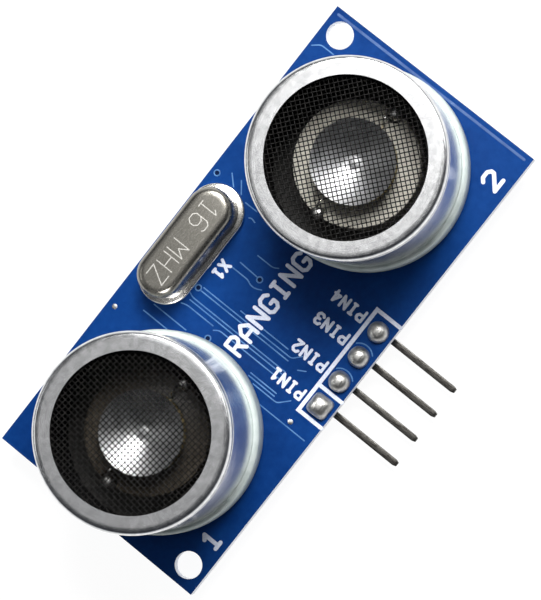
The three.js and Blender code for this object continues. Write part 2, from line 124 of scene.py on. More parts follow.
def add_area_light(name, direction, distance, size, power):
    """An oblong light that faces the board from the given direction."""
    data = bpy.data.lights.new(name, "AREA")
    data.shape = "RECTANGLE"
    data.size = size[0] * MM
    data.size_y = size[1] * MM
    data.energy = power
    light = new_object(name, data)
    aim = Vector(direction).normalized()
    light.location = (BOARD.mid + aim * distance) * MM
    light.rotation_euler = aim.to_track_quat("Z", "Y").to_euler()


def add_world():
    """Pale studio walls under a dim ceiling, so that level metal faces come out grey."""
    world = bpy.data.worlds.new("studio")
    world.use_nodes = True
    tree = world.node_tree
    direction = tree.nodes.new("ShaderNodeTexCoord")
    split = tree.nodes.new("ShaderNodeSeparateXYZ")
    ramp = tree.nodes.new("ShaderNodeValToRGB")
    wall, ceiling = ramp.color_ramp.elements
    wall.position, wall.color = 0.16, (0.62, 0.64, 0.67, 1)
    ceiling.position, ceiling.color = 0.36, (0.028, 0.030, 0.036, 1)
    tree.links.new(direction.outputs["Generated"], split.inputs["Vector"])
    tree.links.new(split.outputs["Z"], ramp.inputs["Fac"])
    tree.links.new(ramp.outputs["Color"], tree.nodes["Background"].inputs["Color"])
    bpy.context.scene.world = world


def add_lights():
    add_world()
    for name, values in AREA_LIGHTS.items():
        add_area_light(name, *values)
    bpy.context.scene.view_settings.view_transform = "Standard"


# ---- material tools

FINISH = {}


class Shader:
    """A node material, kept in FINISH, with helpers that make each finish a short recipe."""

    def __init__(self, name):
        material = bpy.data.materials.new(name)
        material.use_nodes = True
        self.tree = material.node_tree
        self.surface = self.tree.nodes["Principled BSDF"]
        FINISH[name] = material

    def node(self, kind, **settings):
        node = self.tree.nodes.new(kind)
        for key, value in settings.items():
            setattr(node, key, value)
        return node

    def link(self, output, target):
        self.tree.links.new(output, target)

    def set(self, **values):
        for key, value in values.items():
            self.surface.inputs[key.replace("_", " ")].default_value = value

    def coordinates(self, stretch=(1, 1, 1), kind="Object"):
        source = self.node("ShaderNodeTexCoord")
        mapping = self.node("ShaderNodeMapping")
        mapping.inputs["Scale"].default_value = stretch
        self.link(source.outputs[kind], mapping.inputs["Vector"])
        return mapping.outputs["Vector"]

    def noise(self, size, stretch=(1, 1, 1), detail=4, rough=0.55, kind="Object"):
        """Noise whose blotches are about size millimetres across."""
        texture = self.node("ShaderNodeTexNoise")
        texture.inputs["Scale"].default_value = 1 / (size * MM) if kind == "Object" else 1 / size
        texture.inputs["Detail"].default_value = detail
        texture.inputs["Roughness"].default_value = rough
        self.link(self.coordinates(stretch, kind), texture.inputs["Vector"])
        return texture.outputs["Fac"]

    def fade(self, factor, first, last, start=0.3, end=0.7):
        """From one colour or grey to another, as the factor goes from start to end."""
        ramp = self.node("ShaderNodeValToRGB")
        stops = ((start, first), (end, last))
        for element, (place, tone) in zip(ramp.color_ramp.elements, stops):
            element.position = place
            element.color = (*tone, 1) if isinstance(tone, tuple) else (tone, tone, tone, 1)
        self.link(factor, ramp.inputs["Fac"])
        return ramp.outputs["Color"]

    def mix(self, factor, first, second, blend="MIX"):
        mix = self.node("ShaderNodeMix", data_type="RGBA", blend_type=blend)
        for name, value in (("Factor", factor), ("A", first), ("B", second)):
            place = next(i for i in mix.inputs if i.name == name and i.enabled)
            if isinstance(value, bpy.types.NodeSocket):
                self.link(value, place)
            else:
                place.default_value = value
        return next(o for o in mix.outputs if o.enabled)

    def facing_up(self):
        """One where the surface faces straight up or down, nought on upright walls."""
        normal = self.node("ShaderNodeNewGeometry").outputs["Normal"]
        split = self.node("ShaderNodeSeparateXYZ")
        self.link(normal, split.inputs["Vector"])
        size = self.node("ShaderNodeMath", operation="ABSOLUTE")
        self.link(split.outputs["Z"], size.inputs[0])
        return self.fade(size.outputs["Value"], 0.0, 1.0, 0.4, 0.6)

    def bump(self, height, depth, strength):
        bump = self.node("ShaderNodeBump")
        bump.inputs["Strength"].default_value = strength
        bump.inputs["Distance"].default_value = depth * MM
        self.link(height, bump.inputs["Height"])
        self.link(bump.outputs["Normal"], self.surface.inputs["Normal"])

    def colour(self, output):
        self.link(output, self.surface.inputs["Base Color"])

    def roughness(self, output):
        self.link(output, self.surface.inputs["Roughness"])


# ---- materials

def solder_mask():
    """Blue lacquer on the board's faces and pale glass fibre on its cut edges."""
    shader = Shader("solder_mask")
    fine = shader.noise(0.5, detail=5)
    broad = shader.noise(9.0, detail=2)
    face = shader.fade(broad, (0.0012, 0.022, 0.115), (0.0034, 0.041, 0.190), 0.35, 0.65)
    speckle = shader.fade(fine, (0.0008, 0.018, 0.105), (0.004, 0.046, 0.200))
    fibres = shader.noise(0.25, stretch=(1, 1, 6), detail=3)
    edge = shader.fade(fibres, (0.74, 0.77, 0.84), (0.92, 0.93, 0.96))
    shader.colour(shader.mix(shader.facing_up(), edge, shader.mix(0.3, face, speckle)))
    shader.roughness(shader.fade(fine, 0.30, 0.40))
    shader.set(Specular_IOR_Level=0.06)
    shader.bump(shader.noise(0.35, detail=3), 0.004, 0.4)


def masked_copper(name, dark, light):
    """Copper under the solder mask, which shows as a paler blue ridge; on the front tracks and pad
    edges the pale tone is partly a painted highlight.
    """
    shader = Shader(name)
    shader.colour(shader.fade(shader.noise(1.2), dark, light))
    shader.set(Roughness=0.36, Specular_IOR_Level=0.3)
    shader.bump(shader.noise(0.2, detail=3), 0.003, 0.4)


def aluminium(name, dull, depth, mottling):
    """Turned sheet metal: fine rings round the can, with cloudy blotches from handling."""
    polished = 0.17
    shader = Shader(name)
    rings = shader.noise(0.06, stretch=(0.03, 1, 1), detail=4, kind="UV")
    cloud = shader.noise(0.5, detail=6, rough=0.65)
    tint = shader.fade(shader.noise(3.0, detail=2), (0.84, 0.845, 0.85), (0.95, 0.95, 0.95))
    grain = shader.mix(0.6, shader.fade(rings, 0.66, 0.98), shader.fade(cloud, 0.56, 1.0, 0.40, 0.60))
    shader.colour(shader.mix(mottling, tint, grain, "MULTIPLY"))
    shader.roughness(shader.mix(0.5, shader.fade(rings, polished, dull),
                                shader.fade(cloud, polished, dull)))
    shader.set(Metallic=1.0)
    shader.bump(rings, depth, 0.5)


def grille_wire():
    shader = Shader("grille_wire")
    grime = shader.noise(0.8)
    shader.colour(shader.fade(grime, (0.004, 0.004, 0.004), (0.014, 0.013, 0.012)))
    shader.set(Metallic=0.2, Specular_IOR_Level=0.15)
    shader.roughness(shader.fade(grime, 0.40, 0.60))
    shader.bump(shader.noise(0.05), 0.004, 0.4)


def moulded(name, dark, light, roughness, grain=0.25, gloss=0.5):
    """Moulded plastic or resin with a fine eggshell grain."""
    shader = Shader(name)
    speckle = shader.noise(grain, detail=5, rough=0.6)
    broad = shader.noise(grain * 12, detail=2)
    shader.colour(shader.mix(0.5, shader.fade(speckle, dark, light), shader.fade(broad, dark, light)))
    shader.roughness(shader.fade(speckle, roughness - 0.06, roughness + 0.06))
    shader.set(Specular_IOR_Level=gloss)
    shader.bump(speckle, 0.015, 0.6)


def blotched(name, dark, light, grain, polish=None, spread=(0.3, 0.7), stretch=(1, 1, 1),
             detail=5, rough=0.6, depth=0.006, strength=0.5, **settings):
    """Dark and light blotches, each with its own roughness where polish gives the two."""
    shader = Shader(name)
    tone = shader.noise(grain, stretch, detail, rough)
    shader.colour(shader.fade(tone, dark, light, *spread))
    if polish:
        shader.roughness(shader.fade(tone, *polish))
    shader.set(**settings)
    shader.bump(tone, depth, strength)


def bright_metal(name, dark, light, low, high, grain=0.6, **settings):
    """Bare or plated metal with uneven tone and polish."""
    blotched(name, dark, light, grain, (high, low), Metallic=1.0, **settings)


def quartz():
    shader = Shader("quartz")
    shader.colour(shader.fade(shader.noise(1.5), (0.80, 0.82, 0.86), (0.92, 0.93, 0.95)))
    shader.set(Roughness=0.08, Transmission_Weight=0.6, IOR=1.54)


FLOOR_HALF = 900
FLOOR_DROP = 0.02  # below the part, so that the two never share a plane
GLOW_REACH = 300


def pale_floor():
    """White under the part and greyer far off, so that bare metal has something to mirror."""
    shader = Shader("pale_floor")
    shader.colour(shader.fade(shader.noise(60, detail=3), 0.07, 0.09))
    nearness = shader.node("ShaderNodeTexGradient", gradient_type="SPHERICAL")
    shader.link(shader.coordinates([1 / (GLOW_REACH * MM)] * 3), nearness.inputs["Vector"])
    glow = shader.fade(nearness.outputs["Fac"], 0.66, 1.0, 0.25, 0.80)
    shader.link(glow, shader.surface.inputs["Emission Color"])
    shader.set(Roughness=0.8, Emission_Strength=0.95)


def make_finishes():
    solder_mask()
    # Pale blue of copper under the mask, partly a painted highlight on the front tracks and pad edges.
    masked_copper("copper_trace", (0.035, 0.12, 0.30), (0.09, 0.22, 0.45))
    masked_copper("copper_border", (0.022, 0.060, 0.195), (0.055, 0.115, 0.28))
    blotched("silkscreen_ink", (0.44, 0.50, 0.64), (0.70, 0.73, 0.82), 0.12, spread=(0.25, 0.60),
             rough=0.7, depth=0.012, strength=0.6, Roughness=0.55, Specular_IOR_Level=0.3)
    aluminium("can_aluminium", 0.28, 0.006, 0.65)
    aluminium("wall_aluminium", 0.25, 0.003, 0.40)
    # The can's foot is matt, and its lacquer is slightly green.
    blotched("flange_aluminium", (0.40, 0.46, 0.44), (0.53, 0.58, 0.565), 1.0, (0.45, 0.60),
             detail=6, depth=0.01, strength=0.4, Metallic=0.15)
    # Near black, on the rim's inner edge and the can's faces under the lip.
    blotched("can_inside", (0.003, 0.003, 0.004), (0.016, 0.015, 0.014), 0.5, spread=(0.4, 0.75),
             detail=6, rough=0.7, depth=0.02, Roughness=0.6, Specular_IOR_Level=0.2)
    grille_wire()
    moulded("black_plastic", (0.010, 0.009, 0.008), (0.028, 0.026, 0.023), 0.50)
    moulded("dark_holder", (0.022, 0.018, 0.014), (0.12, 0.10, 0.075), 0.32, 0.5)
    moulded("cream_holder", (0.65, 0.62, 0.53), (0.79, 0.76, 0.67), 0.50, 0.5)
    moulded("silicone", (0.42, 0.42, 0.40), (0.60, 0.60, 0.57), 0.60, 0.4)
    moulded("piezo_ceramic", (0.55, 0.52, 0.45), (0.70, 0.66, 0.58), 0.55, 0.2)
    moulded("chip_resin", (0.012, 0.012, 0.013), (0.030, 0.030, 0.032), 0.48, 0.08)
    moulded("via_fill", (0.001, 0.006, 0.030), (0.003, 0.012, 0.050), 0.35, 0.1, gloss=0.06)
    moulded("resistor_glaze", (0.010, 0.010, 0.011), (0.022, 0.022, 0.024), 0.30, 0.2)
    moulded("alumina", (0.66, 0.65, 0.62), (0.78, 0.77, 0.74), 0.60, 0.2)
    moulded("capacitor_body", (0.36, 0.25, 0.14), (0.50, 0.37, 0.23), 0.50, 0.3)
    bright_metal("brass_plate", (0.48, 0.38, 0.18), (0.66, 0.55, 0.30), 0.22, 0.38)
    bright_metal("cone_aluminium", (0.54, 0.54, 0.55), (0.76, 0.76, 0.76), 0.30, 0.48, 0.9, depth=0.03)
    bright_metal("crystal_metal", (0.24, 0.229, 0.199), (0.40, 0.381, 0.341), 0.25, 0.31, 0.16,
                 stretch=(0.5, 1, 1), depth=0.0015)
    bright_metal("crystal_flange", (0.74, 0.72, 0.66), (0.94, 0.91, 0.86), 0.18, 0.28, depth=0.0005)
    bright_metal("engraving", (0.62, 0.60, 0.56), (0.78, 0.76, 0.71), 0.35, 0.50, 0.15)
    bright_metal("pin_metal", (0.055, 0.051, 0.046), (0.36, 0.345, 0.315), 0.30, 0.46, 0.10,
                 stretch=(1, 0.13, 1), depth=0.003, spread=(0.38, 0.70))
    bright_metal("tinned_metal", (0.50, 0.50, 0.49), (0.74, 0.74, 0.72), 0.20, 0.34)
    bright_metal("solder", (0.34, 0.335, 0.315), (0.66, 0.65, 0.62), 0.34, 0.48, 0.4, depth=0.03)
    bright_metal("lead_wire", (0.62, 0.61, 0.59), (0.86, 0.85, 0.82), 0.20, 0.34)
    quartz()
    pale_floor()


# ---- mesh tools

def finished_mesh(name, bm, finishes):
    """Turns faces drawn in millimetres into a mesh that has the given finishes."""
    bmesh.ops.scale(bm, vec=(MM, MM, MM), verts=bm.verts)
    mesh = bpy.data.meshes.new(name)
    bm.to_mesh(mesh)
    bm.free()
    for finish in finishes:
        mesh.materials.append(FINISH[finish])
    return mesh


def add_piece(name, bm, slot, replaces=(), finishes=None, sharp_angle=35):
    """Turns closed solids into a piece of the part: its finish is the slot's own by default."""
    bmesh.ops.recalc_face_normals(bm, faces=bm.faces)
    mesh = finished_mesh(name, bm, finishes or [slot])
    mesh.polygons.foreach_set("use_smooth", [True] * len(mesh.polygons))
    mesh.set_sharp_from_angle(angle=math.radians(sharp_angle))
    piece = new_object(name, mesh)
    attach(piece, BODY)
    for node in replaces:
        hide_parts(node)


def paint(node, finish):
    """Gives a carried-over CAD node one of the finishes."""
    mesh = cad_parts[node].data
    mesh.materials.clear()
    mesh.materials.append(FINISH[finish])


def shares(steps):
    """From nought to one in even steps."""
    return [step / steps for step in range(steps + 1)]


def arc(centre, radius, start, end, steps):
    """Points of an arc, angles in degrees, both ends included."""
    points = []
    for share in shares(steps):
        angle = math.radians(start + (end - start) * share)
        points.append((centre[0] + radius * math.cos(angle), centre[1] + radius * math.sin(angle)))
    return points


def full_turn(count):
    """Cosine and sine pairs in even steps round a full turn."""
    return arc((0, 0), 1, 0, 360, count)[:-1]


def circle(middle, sideways, upward, radius, sides):
    """A ring of points round a place, in the plane of two directions."""
    return [middle + (sideways * c + upward * s) * radius for c, s in full_turn(sides)]


def lathe(bm, profile, centre, segments, finish_of=lambda radius, z: 0, wobble=None):
    """Turns (radius, z) points about the upright line through centre.

    The profile goes up the outside first and closes on itself, or starts and ends on the
    axis. UVs run round the turn in u and along the profile in v, both in millimetres.
    """
    on_axis = profile[0][0] == 0 and profile[-1][0] == 0
    uv_layer = bm.loops.layers.uv.verify()
    rings = []
    for radius, z in profile:
        ring = []
        for c, s in full_turn(segments if radius else 1):
            reach = radius + wobble(c, s, radius, z) if radius and wobble else radius
            ring.append(bm.verts.new((centre[0] + reach * c, centre[1] + reach * s, z)))
        rings.append(ring)
    travel = 0.0
    for k in range(len(profile) - on_axis):
        low, high = rings[k], rings[(k + 1) % len(rings)]
        start, end = profile[k], profile[(k + 1) % len(profile)]
        length = math.dist(start, end)
        finish = finish_of((start[0] + end[0]) / 2, (start[1] + end[1]) / 2)
        for i in range(segments):
            corners = [(low, i, travel), (low, i + 1, travel),
                       (high, i + 1, travel + length), (high, i, travel + length)]
            if len(low) == 1:
                corners.pop(1)
            elif len(high) == 1:
                corners.pop(2)
            face = bm.faces.new([ring[at % len(ring)] for ring, at, _ in corners])
            face.material_index = finish
            for loop, (_, at, v) in zip(face.loops, corners):
                loop[uv_layer].uv = (2 * math.pi * at / segments * max(start[0], end[0]), v)
        travel += length


def loft(bm, rings):
    """A closed skin through rings of equal point count, each a list of (x, y, z)."""
    rows = [[bm.verts.new(point) for point in ring] for ring in rings]
    bm.faces.new(rows[0][::-1])
    bm.faces.new(rows[-1])
    for low, high in zip(rows, rows[1:]):
        for i in range(len(low)):
            j = (i + 1) % len(low)
            bm.faces.new((low[i], low[j], high[j], high[i]))


def rounded_path(points, radius, closed=False):
    """A polyline whose corners are replaced by short curves."""
    result = []
    for i, corner in enumerate(points):
        if not closed and i in (0, len(points) - 1):
            result.append(corner)
            continue
        to_before = points[i - 1] - corner
        to_after = points[(i + 1) % len(points)] - corner
        start = corner + to_before.normalized() * min(radius, to_before.length / 2)
        end = corner + to_after.normalized() * min(radius, to_after.length / 2)
        for t in shares(4):
            result.append(start * (1 - t) ** 2 + corner * 2 * t * (1 - t) + end * t ** 2)
    return result


def ribbon(bm, points, width, low_z, high_z, closed=False):
    """A flat stroke with round ends and a given height, following 2-D points."""
    too_close = 1e-4
    longest_mitre = 1.6
    path = [points[0]]
    for point in points[1:]:
        if (point - path[-1]).length > too_close:
            path.append(point)
    count = len(path)
    half = width / 2
    left, right = [], []
    for i, point in enumerate(path):
        ahead = path[(i + 1) % count] - point if closed or i < count - 1 else point - path[i - 1]
        behind = point - path[i - 1] if closed or i > 0 else ahead
        side_a = Vector((-behind.y, behind.x)).normalized()
        side_b = Vector((-ahead.y, ahead.x)).normalized()
        middle = (side_a + side_b).normalized()
        reach = middle * half / max(middle.dot(side_a), 1 / longest_mitre)
        left.append(point + reach)
        right.append(point - reach)
    placed = {}

    def vertex(point, z):
        key = (round(point.x, 6), round(point.y, 6), z)
        if key not in placed:
            placed[key] = bm.verts.new((point.x, point.y, z))
        return placed[key]

    def flat_faces(corners):
        bm.faces.new([vertex(corner, high_z) for corner in corners])
        bm.faces.new([vertex(corner, low_z) for corner in reversed(corners)])

    def wall(a, b):
        bm.faces.new((vertex(a, low_z), vertex(b, low_z), vertex(b, high_z), vertex(a, high_z)))

    for i in range(count if closed else count - 1):
        j = (i + 1) % count
        flat_faces((left[i], right[i], right[j], left[j]))
        wall(right[i], right[j])
        wall(left[j], left[i])
    if closed:
        return
    for end, first, last in ((path[0], left[0], right[0]), (path[-1], right[-1], left[-1])):
        start = math.degrees(math.atan2(first.y - end.y, first.x - end.x))
        cap = [first, *map(Vector, arc(end, half, start, start + 180, 6)[1:-1]), last]
        flat_faces(cap)
        for a, b in zip(cap, cap[1:]):
            wall(a, b)


def bevelled_box(bm, low, high, bevel, finish=0):
    """A box between two opposite corners, in any order, with its edges rounded off."""
    size = Vector([abs(length) for length in high - low])
    fresh = set(bmesh.ops.create_cube(bm, size=1)["verts"])
    for vert in fresh:
        vert.co = (low + high) / 2 + vert.co * size
    for face in bm.faces:
        if face.verts[0] in fresh:
            face.material_index = finish
    edges = [edge for edge in bm.edges if edge.verts[0] in fresh]
    bmesh.ops.bevel(bm, geom=edges, offset=bevel, segments=2, affect="EDGES", profile=0.5)


def blob(bm, centre, radius, height, seed, segments=24, squareness=2.0, wobble=0.05):
    """A lump of solder that stands on its base: round, or squarish low down."""
    x, y, z = centre
    rings = []
    for share in (0, 0.12, 0.3, 0.5, 0.68, 0.82, 0.92, 0.98):
        size = radius * math.cos(share * math.pi / 2) ** 0.62
        power = squareness + (2.0 - squareness) * min(1, share * 1.2)
        ring = []
        for c, s in full_turn(segments):
            reach = size * (abs(c) ** power + abs(s) ** power) ** (-1 / power)
            reach *= 1 + wobble * fractal.noise(Vector((c + seed, s, share * 1.5)))
            ring.append((x + reach * c, y + reach * s, z + height * math.sin(share * math.pi / 2)))
        rings.append(ring if height > 0 else ring[::-1])
    loft(bm, rings)


def add_turned_piece(node, slot, inner=0):
    """A rod, disc or washer that stands for a CAD node, with eased edges."""
    ease = 0.05
    box = NodeBox(node)
    low, high, radius = box.low.z, box.high.z, box.radius
    profile = [(inner, low), (radius - ease, low), (radius, low + ease),
               (radius, high - ease), (radius - ease, high), (inner, high)]
    bm = bmesh.new()
    lathe(bm, profile, box.mid, 64 if radius > 1 else 24)
    add_piece(f"{node}_turned", bm, slot, [node])


def add_eased_copy(node, finishes, bevel):
    """The CAD node's own shape with its sharp edges eased.

    The last finish goes on the faces that stand clear of the board's front.
    """
    clear_z = FRONT_Z + 0.5
    sharp_turn = 0.7  # radians
    bm = bmesh.new()
    bm.from_mesh(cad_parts[node].data)
    bmesh.ops.scale(bm, vec=(1 / MM, 1 / MM, 1 / MM), verts=bm.verts)
    bmesh.ops.remove_doubles(bm, verts=bm.verts, dist=0.002)
    bmesh.ops.dissolve_limit(bm, angle_limit=math.radians(2), verts=bm.verts, edges=bm.edges)
    sharp = [edge for edge in bm.edges
             if len(edge.link_faces) == 2 and edge.calc_face_angle() > sharp_turn]
    bmesh.ops.bevel(bm, geom=sharp, offset=bevel, segments=2, affect="EDGES", profile=0.6)
    for face in bm.faces:
        clear = face.calc_center_median().z > clear_z
        face.material_index = len(finishes) - 1 if clear else 0
    add_piece(f"{node}_eased", bm, finishes[0], [node], finishes)


# ---- stroke lettering

# Plain generic letters, each a list of strokes on a grid 4 wide and 6 high.
GLYPHS = {
    "A": [[(0, 0), (0, 4), (2, 6), (4, 4), (4, 0)], [(0, 2.2), (4, 2.2)]],
    "G": [[(4, 5), (3, 6), (1, 6), (0, 5), (0, 1), (1, 0), (3, 0), (4, 1), (4, 2.6), (2.4, 2.6)]],
    "H": [[(0, 0), (0, 6)], [(4, 0), (4, 6)], [(0, 3), (4, 3)]],
    "I": [[(2, 0), (2, 6)], [(1, 0), (3, 0)], [(1, 6), (3, 6)]],
    "M": [[(0, 0), (0, 6), (2, 3.2), (4, 6), (4, 0)]],
    "N": [[(0, 0), (0, 6), (4, 0), (4, 6)]],
    "P": [[(0, 0), (0, 6), (3, 6), (4, 5), (4, 3.8), (3, 2.8), (0, 2.8)]],
    "R": [[(0, 0), (0, 6), (3, 6), (4, 5), (4, 3.8), (3, 2.8), (0, 2.8)], [(2, 2.8), (4, 0)]],
    "X": [[(0, 0), (4, 6)], [(0, 6), (4, 0)]],
    "Z": [[(0, 6), (4, 6), (0, 0), (4, 0)]],
    "1": [[(0.9, 4.8), (2.2, 6), (2.2, 0)], [(1, 0), (3.4, 0)]],
    "2": [[(0, 5), (1, 6), (3, 6), (4, 5), (4, 4), (0, 0), (4, 0)]],
    "3": [[(0, 5), (1, 6), (3, 6), (4, 5), (4, 4), (3, 3), (4, 2), (4, 1), (3, 0), (1, 0), (0, 1)],
          [(1.6, 3), (3, 3)]],
    "4": [[(3, 0), (3, 6), (0, 1.8), (4, 1.8)]],
    "6": [[(3.8, 5.4), (3, 6), (1, 6), (0, 5), (0, 1), (1, 0), (3, 0), (4, 1), (4, 2.4), (3, 3.4),
           (1, 3.4), (0, 2.4)]],
}

INK_HEIGHT = 0.03
STROKE_STEP = 0.0015
SINK = 0.01  # how far flat marks reach into the board, so that no light shows under them


def write(bm, text, centre, size, pitch, stroke, turn=0, face_z=FRONT_Z, height=INK_HEIGHT):
    """Writes a line of text centred on a place: size is a letter's width and height.

    Every straight stroke is a bar of its own with round ends, a hair higher than the last,
    so that bars which cross never share a plane.
    """
    wide, tall = size
    turned = Matrix.Rotation(math.radians(turn), 2)
    start = -(pitch * (len(text) - 1) + wide) / 2
    for position, letter in enumerate(text):
        top = face_z + height
        for points in GLYPHS.get(letter, []):
            placed = []
            for x, y in points:
                flat = Vector((start + position * pitch + x / 4 * wide, (y / 6 - 0.5) * tall))
                placed.append(centre + turned @ flat)
            for first, last in zip(placed, placed[1:]):
                ribbon(bm, [first, last], stroke, face_z - SINK, top)
                top += STROKE_STEP


# ---- circuit board

TRACE_HEIGHT = 0.012
OUTLINE_WIDTH = 0.33

# Tracks, from the board's centre. The front ones follow thin pale lines where tracks catch the light,
# so their pale tone is partly a painted highlight.
FRONT_TRACES_AND_HIGHLIGHTS = [
    [(-6.83, 7.4), (-6.83, 4.9)],
    [(-6.83, -4.9), (-6.83, -9.7)],
    [(-5.9, 7.0), (-5.9, 3.6)],
    [(-4.4, 5.3), (-4.23, 4.8), (-4.23, 2.05)],
    [(-4.5, 1.8), (-4.2, 1.4), (-4.2, -4.9)],
    [(-3.75, 4.9), (-3.75, -5.2)],
    [(-3.2, 5.4), (-3.45, 4.9), (-3.45, -5.0)],
    [(-2.6, 4.6), (-2.6, -4.6)],
    [(-2.27, 4.6), (-2.27, -4.7), (-1.6, -5.3)],
    [(-1.85, 1.0), (-1.85, -4.0)],
    [(0.5, 3.9), (0.5, 2.1), (0.28, 1.7), (0.3, 1.2), (0.55, 0.7)],
    [(1.22, 3.5), (1.15, 1.7)],
    [(2.55, 2.7), (2.55, 1.1), (2.8, 0.7)],
    [(5.3, 6.2), (5.3, 5.0)],
    [(4.5, 5.2), (4.62, 5.0), (4.5, 4.6)],
    [(5.7, 7.8), (6.5, 8.6)],
    [(5.6, 6.9), (6.5, 7.6)],
    [(-5.85, -3.5), (-5.85, -6.0), (-5.0, -6.8)],
    [(-5.55, -2.8), (-5.55, -5.5)],
    [(-5.27, -2.8), (-5.27, -5.5)],
    [(-2.7, -5.7), (-2.35, -6.3)],
    [(18.7, 9.9), (19.2, 9.3), (19.2, 8.0)],
]
BORDER_TRACES = [[(22.0, -9.6), (22.0, 9.7)]]
FRONT_VIAS = [(-2.55, 4.95), (1.1, 1.35), (5.75, 9.6), (-5.3, 1.75)]
TINNED_SPOTS = [(-6.35, -7.85), (-8.1, 9.5)]
BACK_TRACES = [
    [(-7.6, 6.5), (-3.0, 6.5), (-2.4, 7.1)],
    [(7.6, 6.5), (3.0, 6.5), (2.2, 7.1)],
    [(-10.4, -3.6), (-6.2, -3.6), (-3.8, -6.0), (-3.8, -7.2)],
    [(-10.4, -2.2), (-5.4, -2.2)],
    [(10.4, -3.6), (6.2, -3.6), (3.8, -6.0), (3.8, -7.2)],
    [(10.4, -2.2), (5.6, -2.2)],
    [(-1.3, -4.4), (-1.3, -7.2)],
    [(1.3, -4.4), (1.3, -7.2)],
    [(-17.2, 3.6), (-19.9, 3.6), (-19.9, -6.6), (-16.2, -8.8), (-6.0, -8.8)],
    [(17.2, 3.6), (20.2, 3.6), (20.2, -7.0), (17.6, -8.8), (6.0, -8.8)],
    [(-9.8, 7.6), (-6.4, 8.9), (6.4, 8.9), (9.8, 7.6)],
    [(-2.9, 2.6), (-2.9, 4.8), (-4.2, 6.1)],
    [(2.9, 2.6), (2.9, 4.8), (4.2, 6.1)],
]
BACK_VIAS = [(-8.1, 9.5), (5.6, 9.6), (-2.55, 4.85), (1.05, 4.9), (-6.35, -7.85), (9.6, 8.6),
             (-11.0, 8.9), (16.9, -6.9), (-20.6, 1.2), (20.9, 1.2)]


def add_traces(name, traces, face, width=0.10, finish="copper_trace"):
    """Tracks under the solder mask, each a low ridge."""
    face_z, out = face
    bm = bmesh.new()
    for i, points in enumerate(traces):
        path = rounded_path([on_board(x, y) for x, y in points], 0.25)
        height = TRACE_HEIGHT + i % 4 * STROKE_STEP
        ribbon(bm, path, width, *sorted((face_z - out * SINK, face_z + out * height)))
    add_piece(name, bm, "copper_trace", finishes=[finish])


def add_vias(name, places, face):
    """Small plated holes filled by the solder mask: a raised ring with a dark middle."""
    face_z, out = face
    buried = face_z - out * SINK
    ring = [(0.30, buried), (0.29, face_z + out * 0.025), (0.25, face_z + out * 0.035),
            (0.20, face_z + out * 0.025), (0.18, buried)]
    disc = [(0, buried), (0.19, buried), (0.19, face_z + out * 0.002), (0, face_z + out * 0.002)]
    bm = bmesh.new()
    for x, y in places:
        lathe(bm, ring, on_board(x, y), 24)
        lathe(bm, disc, on_board(x, y), 24, lambda radius, z: 1)
    add_piece(name, bm, "copper_trace", finishes=["copper_trace", "via_fill"])


def add_tinned_spots():
    """Two vias that the solder mask leaves open and bright."""
    profile = [(0, FRONT_Z - SINK), (0.24, FRONT_Z - SINK), (0.22, FRONT_Z + 0.03),
               (0.10, FRONT_Z + 0.05), (0, FRONT_Z + 0.05)]
    bm = bmesh.new()
    for x, y in TINNED_SPOTS:
        lathe(bm, profile, on_board(x, y), 20)
    add_piece("tinned_spots", bm, "tinned_metal", finishes=["lead_wire"])


def add_front_marks():
    """White printed marks on the front: a plain word, pin labels and two numbers."""
    bm = bmesh.new()
    write(bm, "RANGING", on_board(0.05, -0.47), (0.98, 1.5), 1.45, 0.32)
    write(bm, "X1", on_board(-0.2, 4.36), (0.50, 0.88), 0.82, 0.26, 180)
    for i, x in enumerate((-4.05, -1.15, 1.7, 4.0)):
        write(bm, f"PIN{i + 1}", on_board(x, -5.75), (0.52, 0.92), 0.84, 0.24, 90)
    low_z, high_z = FRONT_Z - SINK, FRONT_Z + INK_HEIGHT
    edge = 0.03 - BOARD.size.y / 2
    top, left, right, divider = -7.75, -5.16, 5.2, -2.5
    outline = [(left, edge), (left, top), (right, top), (right, edge)]
    ribbon(bm, [on_board(x, y) for x, y in outline], OUTLINE_WIDTH, low_z, high_z)
    ends = [on_board(divider, edge), on_board(divider, top)]
    ribbon(bm, ends, OUTLINE_WIDTH, low_z, high_z + STROKE_STEP)
    add_piece("front_marks", bm, "silkscreen_ink")
    bm = bmesh.new()
    for number, x, y in (("1", -18.0, -8.74), ("2", 19.1, -8.6)):
        write(bm, number, on_board(x, y), (1.1, 1.45), 0, 0.34)
    add_piece("side_marks", bm, "silkscreen_ink")


def add_pad_edges():
    """Pale curved edges of copper beside the second and third joints, drawn only on the side that
    faces the key light: partly a painted highlight.
    """
    bm = bmesh.new()
    for x in (-1.33, 1.27):
        points = [Vector(point) for point in arc(on_board(x, -8.95), 1.12, -48, 48, 12)]
        ribbon(bm, points, 0.11, FRONT_Z - SINK, FRONT_Z + TRACE_HEIGHT)
    add_piece("pad_edges_and_highlights", bm, "copper_trace")


def add_board():
    paint("circuit_board", "solder_mask")
    add_traces("front_traces_and_highlights", FRONT_TRACES_AND_HIGHLIGHTS, FRONT)
    add_traces("border_traces", BORDER_TRACES, FRONT, 0.22, "copper_border")
    add_traces("back_traces", BACK_TRACES, BACK, 0.22)
    add_vias("front_vias", FRONT_VIAS, FRONT)
    add_vias("back_vias", BACK_VIAS, BACK)
    add_tinned_spots()
    add_front_marks()
    add_pad_edges()


# ---- transducers

FLANGE_HEIGHT = 2.2
FLANGE_ROUNDING = 0.38
WALL_INSET = 0.46  # from the flange's radius in to the wall's
OPENING_INSET = 1.895
RIM_ROUNDING = 0.42
LIP = 0.35  # thickness of the rim
CREASE_DROP = 1.32  # from the can's top down to the foot of the bead

MESH_PITCH = 0.36
MESH_WIRE = 0.044  # radius
MESH_TURN = {"transmitter": -7, "receiver": -40}


